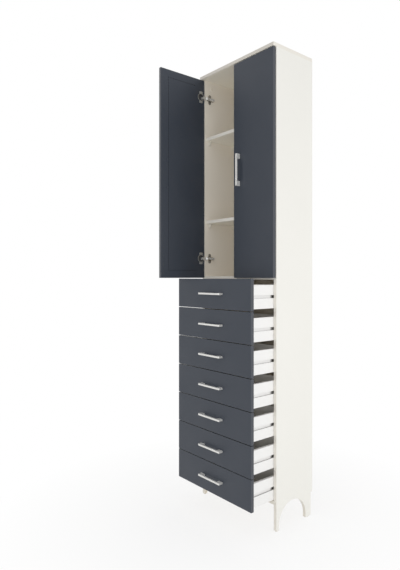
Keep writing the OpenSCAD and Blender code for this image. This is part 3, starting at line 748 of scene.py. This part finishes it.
# Shelf tops take the warm tint of painted shade, and their undersides painted light
for shelf in ("upper_shelf", "lower_shelf"):
    dress(shelf, board_pick(shelf, Z, inner=(-1,)), (inside_face_warm_shade, white_band, chipboard, under_face_painted_light))
dress_sheet("upper_back_panel")
dress_sheet("lower_back_panel")
for side, place in DOOR_PLACES.items():
    panel = side + "_door_panel"
    dress(panel, board_pick(panel, Y, place=place), (slate_face, slate_band, chipboard), place)
    dress(side + "_hinge_cups", cup_pick, (cup_nickel, cup_hollow_painted_shade), place)
for number in range(1, DRAWERS + 1):
    drawer = f"drawer_{number}_"
    dress(drawer + "front", board_pick(drawer + "front", Y, inner=(1,)),
          (slate_face, slate_band, chipboard, drawer_face))
    dress(drawer + "sides", side_pick(drawer + "sides"), (drawer_face, chipboard, groove_face, groove_lip_shade))
    dress(drawer + "back", lambda middle, normal: 1 if abs(normal.x) > SQUARE else 0,
          (drawer_face, chipboard))
    dress(drawer + "bottom", lambda middle, normal: 0 if normal.z > SQUARE else 1, (drawer_face, back_face))
    dress_plain(level_nickel, drawer + "handle")
dress_plain(upright_nickel, "left_door_handle", "right_door_handle")
dress_plain(beech, "runner_battens", "joint_dowels")
dress_plain(zinc, "cam_fittings")
dress_plain(arm_nickel, "hinge_arms")
dress_plain(plate_metal, "hinge_plates")
dress_plain(milky_plastic, "shelf_supports", "floor_glides")


# Pieces that the CAD leaves plain

# Millimetres within which two corners are one
SAME_POINT = 0.001


def loose_solids(name, place):
    """The separate solids of a node, each as its corners in cabinet millimetres after place is undone."""
    build = bmesh.new()
    build.from_mesh(nodes[name].data)
    bmesh.ops.transform(build, matrix=(TO_FRAME @ place).inverted(), verts=build.verts)
    bmesh.ops.remove_doubles(build, verts=build.verts, dist=SAME_POINT)
    left = set(build.verts)
    solids = []
    for first in list(build.verts):
        if first not in left:
            continue
        left.discard(first)
        front = [first]
        solid = []
        while front:
            vert = front.pop()
            solid.append(vert.co.copy())
            for edge in vert.link_edges:
                other = edge.other_vert(vert)
                if other in left:
                    left.discard(other)
                    front.append(other)
        solids.append(solid)
    build.free()
    return solids


def axis_turn(axis, side):
    """Turns what is drawn along Z so that it looks along an axis, on its low side (-1) or high side (1)."""
    aim = Vector((0, 0, 0))
    aim[axis] = side
    return aim.to_track_quat("Z", "Y").to_matrix().to_4x4()


# Millimetres at each end of a plain screw in which its head or its tip is measured
END_ZONE = 3
# A corner this near to the head's radius, as a share, is on the head's rim
ON_RIM = 0.95
# A head thicker than this stands on the surface, with its rim at this share of its height
FLAT_HEAD = 0.5
RIM_SHARE = 0.5
# How far a countersunk head's rim lies below its crown
SUNK_RIM = -0.1


def screw_over(points, spin):
    """A cross-head screw in place of a plain one, with its place, from the plain one's corners."""
    low, high = box_round(points)
    axis = max(range(3), key=lambda index: high[index] - low[index])
    middle = (low + high) / 2

    def from_axis(point):
        away = point - middle
        away[axis] = 0
        return away.length

    def widest_near(end):
        return max(from_axis(point) for point in points if abs(point[axis] - end) < END_ZONE)

    side = 1 if widest_near(high[axis]) > widest_near(low[axis]) else -1
    top, tip = (high[axis], low[axis]) if side > 0 else (low[axis], high[axis])
    head_r = widest_near(top)
    shank_r = widest_near(tip)
    thickness = max(abs(point[axis] - top) for point in points if from_axis(point) > head_r * ON_RIM)
    length = abs(top - tip)
    spot = middle.copy()
    if thickness > FLAT_HEAD:
        spot[axis] = top - side * thickness
        screw = cross_head_screw(2 * head_r, thickness * RIM_SHARE, thickness, 2 * shank_r,
                                 length - thickness)
    else:
        spot[axis] = top
        screw = cross_head_screw(2 * head_r, SUNK_RIM, 0, 2 * shank_r, length)
    turn = Matrix.Rotation(spin.uniform(0, math.pi / 2), 4, "Z")
    return screw, Matrix.Translation(spot) @ axis_turn(axis, side) @ turn


def recessed_screws(name, body, place=Matrix()):
    """Cross-head screws in place of a node of plain ones."""
    spin = random.Random(name)
    forms = []
    for points in loose_solids(name, place):
        screw, spot = screw_over(points, spin)
        forms.append((screw, [place @ spot]))
    piece = finished(forms, name + "_with_recess", body, zinc)
    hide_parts(name)


# Middle of the shut left door's handle, the spacing of its screws, and its screw caps' turned outline
HANDLE_X = 211.5
HANDLE_Z = DOOR_Z + DOOR_H / 2
HANDLE_PITCH = 128
SCREW_CAP_PROFILE = ((0, 0), (5.2, 0), (5.2, 0.05), (7, 0.05), (7, 1.6), (6.4, 2.5), (5, 2.9), (0, 3.0))
SCREW_CAP_SIDES = 28


def handle_screw_caps(side, place):
    """Flat slate caps over the handle's screw heads on the door's inner face."""
    cap = lathe(SCREW_CAP_PROFILE, SCREW_CAP_SIDES)
    turn = axis_turn(Y, 1)
    places = [place @ Matrix.Translation((HANDLE_X, -STAND_OFF, HANDLE_Z + end * HANDLE_PITCH / 2)) @ turn
              for end in (-1, 1)]
    finished([(cap, places)], side + "_handle_screw_caps", side + "_door", slate_face)


# Dotted line along the free edge, top and bottom of the doors' inner faces
DOT_STEP = 13.2
DOTS_FROM_ENDS = 36
DOTS_FROM_FREE_EDGE = 41
DOTS_FROM_HINGE_EDGE = 58
DOT_PROFILE = ((0, -0.6), (2.4, -0.6), (2.4, 0.1), (1.8, 0.2125), (0, 0.25))
DOT_SIDES = 10


def border_points():
    """Middles of the dots: along the bottom to the free edge, up that edge, and back along the top."""
    left, right = REVEAL + DOTS_FROM_HINGE_EDGE, REVEAL + DOOR_W - DOTS_FROM_FREE_EDGE
    low, high = DOOR_Z + DOTS_FROM_ENDS, DOOR_Z + DOOR_H - DOTS_FROM_ENDS
    corners = [(left, low), (right, low), (right, high), (left, high)]
    for (x0, z0), (x1, z1) in zip(corners, corners[1:]):
        length = math.hypot(x1 - x0, z1 - z0)
        steps = round(length / DOT_STEP)
        for step in range(steps):
            share = step / steps
            yield x0 + (x1 - x0) * share, z0 + (z1 - z0) * share
    yield corners[-1]


def dotted_border(side, place):
    """The dotted line on a door's inner face."""
    dot = lathe(DOT_PROFILE, DOT_SIDES)
    turn = axis_turn(Y, 1)
    places = [place @ Matrix.Translation((x, -STAND_OFF, z)) @ turn for x, z in border_points()]
    finished([(dot, places)], side + "_border_dots", side + "_door", dot_ink)


# Cam locks: in the sides' inner faces under the top panel, and in the undersides of two panels
CAM_DEPTHS = (40, 178)
CAM_FROM_BOARD = 34
TOP_CAM_Z = 2030 - CAM_FROM_BOARD
CAM_INSETS = (BOARD_T + CAM_FROM_BOARD, CABINET_W - BOARD_T - CAM_FROM_BOARD)
CAM_UNDERSIDES = (1055, 110)
CAM_CAP_PROFILE = ((0, -2.5), (5.0, -2.5), (5.5, 0), (8.5, 0), (8.5, 0.54), (8.0, 0.96), (6.5, 1.2),
                   (2, 1.14), (0, 0.96))
CAM_CAP_SIDES = 32


def cam_caps():
    """Round push-in caps over the cam locks, domed, with a small lip."""
    cap = lathe(CAM_CAP_PROFILE, CAM_CAP_SIDES)
    places = []
    for depth in CAM_DEPTHS:
        places.append(Matrix.Translation((BOARD_T, depth, TOP_CAM_Z)) @ axis_turn(X, 1))
        places.append(Matrix.Translation((CABINET_W - BOARD_T, depth, TOP_CAM_Z)) @ axis_turn(X, -1))
        for inset in CAM_INSETS:
            for under in CAM_UNDERSIDES:
                places.append(Matrix.Translation((inset, depth, under)) @ axis_turn(Z, -1))
    finished([(cap, places)], "cam_cover_caps", "carcass", cap_plastic)


recessed_screws("carcass_screws", "carcass")
for side, place in DOOR_PLACES.items():
    recessed_screws(side + "_door_screws", side + "_door", place)
    handle_screw_caps(side, place)
    dotted_border(side, place)
cam_caps()


# Floor, light and camera

# Metres from the middle of the floor over which it fades to white, and how white it is inside them
FADE_SPAN = (0.25, 1.1)
FADE_FROM = 0.78
FLOOR_R = 12
FLOOR_SIDES = 64
# Strength of the even room light, where 1 is the plain white that the camera and reflections see
ROOM_LIGHT = 0.75


def mirrored_or_through(tree, rays):
    """1 for rays that were mirrored or went through glass."""
    return math_node(tree, "MAXIMUM", rays["Is Glossy Ray"], rays["Is Transmission Ray"])


def floor_material():
    """Pale floor that keeps the shadow near the cabinet and fades to white away from it."""
    material = bpy.data.materials.new("pale_floor")
    material.use_nodes = True
    tree = material.node_tree
    tree.nodes.clear()
    place = add_node(tree, "ShaderNodeTexCoord").outputs["Object"]
    grain = noise(tree, place, scale=40.0, detail=4.0)
    colour = mixed(tree, grain, FLOOR_LOW, FLOOR_HIGH)
    ground = add_node(tree, "ShaderNodeBsdfDiffuse", {"Color": colour}).outputs["BSDF"]
    white = add_node(tree, "ShaderNodeEmission", {"Color": WHITE, "Strength": 1.0}).outputs["Emission"]
    away = add_node(tree, "ShaderNodeVectorMath", {0: place}, operation="LENGTH").outputs["Value"]
    fade = ranged(tree, away, FADE_SPAN, result=(FADE_FROM, 1.0))
    rays = add_node(tree, "ShaderNodeLightPath").outputs
    faded = math_node(tree, "MULTIPLY", fade, rays["Is Camera Ray"])
    seen = math_node(tree, "MAXIMUM", faded, mirrored_or_through(tree, rays))
    mix = add_node(tree, "ShaderNodeMixShader", {0: seen, 1: ground, 2: white})
    add_node(tree, "ShaderNodeOutputMaterial", {"Surface": mix.outputs["Shader"]})
    return material


def make_floor():
    """A wide round floor."""
    build = bmesh.new()
    bmesh.ops.create_circle(build, cap_ends=True, radius=FLOOR_R, segments=FLOOR_SIDES)
    mesh = bpy.data.meshes.new("floor")
    build.to_mesh(mesh)
    build.free()
    mesh.materials.append(floor_material())
    floor = bpy.data.objects.new("floor", mesh)
    bpy.context.scene.collection.objects.link(floor)


def make_world():
    """Even room light; the camera and reflections see plain white."""
    world = bpy.data.worlds.new("studio")
    world.use_nodes = True
    bpy.context.scene.world = world
    tree = world.node_tree
    tree.nodes.clear()
    rays = add_node(tree, "ShaderNodeLightPath").outputs
    seen = math_node(tree, "MAXIMUM", rays["Is Camera Ray"], mirrored_or_through(tree, rays))
    strength = ranged(tree, seen, span=(0.0, 1.0), result=(ROOM_LIGHT, 1.0))
    light = add_node(tree, "ShaderNodeBackground", {"Color": WHITE, "Strength": strength})
    add_node(tree, "ShaderNodeOutputWorld", {"Surface": light.outputs["Background"]})


def soft_lamp(name, place, aim, size, power):
    """A flat lamp at a place, turned to an aim, with its width and height in metres and its watts."""
    data = bpy.data.lights.new(name, "AREA")
    data.shape = "RECTANGLE"
    data.size, data.size_y = size
    data.energy = power
    lamp = bpy.data.objects.new(name, data)
    lamp.location = place
    lamp.rotation_euler = (Vector(aim) - Vector(place)).to_track_quat("-Z", "Y").to_euler()
    bpy.context.scene.collection.objects.link(lamp)


# The photograph's camera: a level view from the front right, with the frame shifted off its axis
CAMERA_PLACE = TO_FRAME @ Vector((1930.2, -1496.5, 1062.6))
CAMERA_TURN = math.radians(48.247)
FOCAL_PX = 494.3
FRAME_PX = Vector((400, 570))
AXIS_PX = Vector((237.1, 277.8))
SENSOR_MM = 36.0


def make_camera():
    """The camera at the photograph's place, with its lens and shift."""
    data = bpy.data.cameras.new("camera")
    data.sensor_width = SENSOR_MM
    data.sensor_fit = "AUTO"
    longest = max(FRAME_PX)
    data.lens = FOCAL_PX / longest * SENSOR_MM
    data.shift_x = (FRAME_PX.x / 2 - AXIS_PX.x) / longest
    data.shift_y = (AXIS_PX.y - FRAME_PX.y / 2) / longest
    camera = bpy.data.objects.new("camera", data)
    camera.location = CAMERA_PLACE
    camera.rotation_euler = (math.pi / 2, 0, CAMERA_TURN)
    bpy.context.scene.collection.objects.link(camera)
    bpy.context.scene.camera = camera


make_floor()
make_world()
soft_lamp("key", place=(3.2, 0.4, 0.95), aim=(0, 0, 0.8), size=(2.0, 2.0), power=20)
soft_lamp("front", place=(0.2, -3.4, 0.9), aim=(0, 0, 0.7), size=(2.4, 1.6), power=6)
soft_lamp("fill", place=(2.2, -2.1, 1.07), aim=(0, 0, 1.0), size=(0.5, 0.5), power=9)
make_camera()
bpy.context.scene.view_settings.view_transform = "Standard"

# Enough bounces for light to reach the back of the cupboard and the gaps between the drawers
MAX_BOUNCES = 14
DIFFUSE_BOUNCES = 10
bpy.context.scene.cycles.max_bounces = MAX_BOUNCES
bpy.context.scene.cycles.diffuse_bounces = DIFFUSE_BOUNCES
